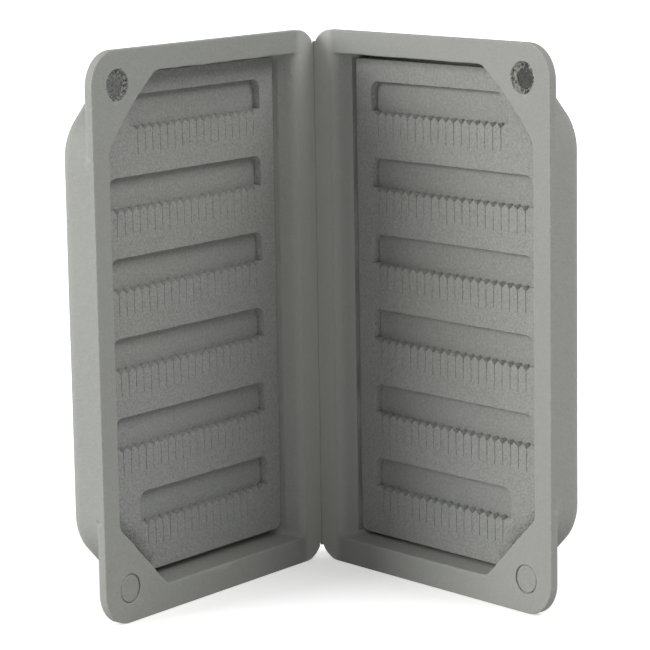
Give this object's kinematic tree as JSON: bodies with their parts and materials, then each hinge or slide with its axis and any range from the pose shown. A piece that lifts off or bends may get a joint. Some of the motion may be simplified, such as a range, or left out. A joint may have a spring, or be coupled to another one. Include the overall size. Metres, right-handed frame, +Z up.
{
  "type": "fly box",
  "caption": "Slim foam fishing fly box that folds open like a book, with slotted foam inserts in both trays and magnets in the free corners.",
  "frame": {"origin": "middle of the footprint, on the surface that the box stands on", "axes": "+Z up along the hinge, +Y towards the hinge, +X to the right as the open trays are looked into"},
  "size_m": [0.1556, 0.0902, 0.178],
  "materials": {
    "shell_foam": "matte",
    "sheet_foam": "matte",
    "backing_foam": "matte",
    "cover_foam": "matte",
    "magnet": "matte"
  },
  "bodies": {
    "right_tray": {"shell_right": "shell_foam", "hinge_web": "shell_foam", "backing_right": "backing_foam", "slotted_sheet_right": "sheet_foam", "magnet_upper_right": "magnet", "magnet_lower_right": "magnet", "cover_disc_right": "cover_foam"},
    "left_tray": {"shell_left": "shell_foam", "backing_left": "backing_foam", "slotted_sheet_left": "sheet_foam", "magnet_upper_left": "magnet", "magnet_lower_left": "magnet", "cover_disc_left": "cover_foam"}
  },
  "joints": [
    {"name": "lid_fold", "type": "hinge", "parent": "right_tray", "child": "left_tray", "pos_m": [0, 0.04066, 0], "axis": [0, 0, 1], "range_deg": [-103, 77]}
  ]
}
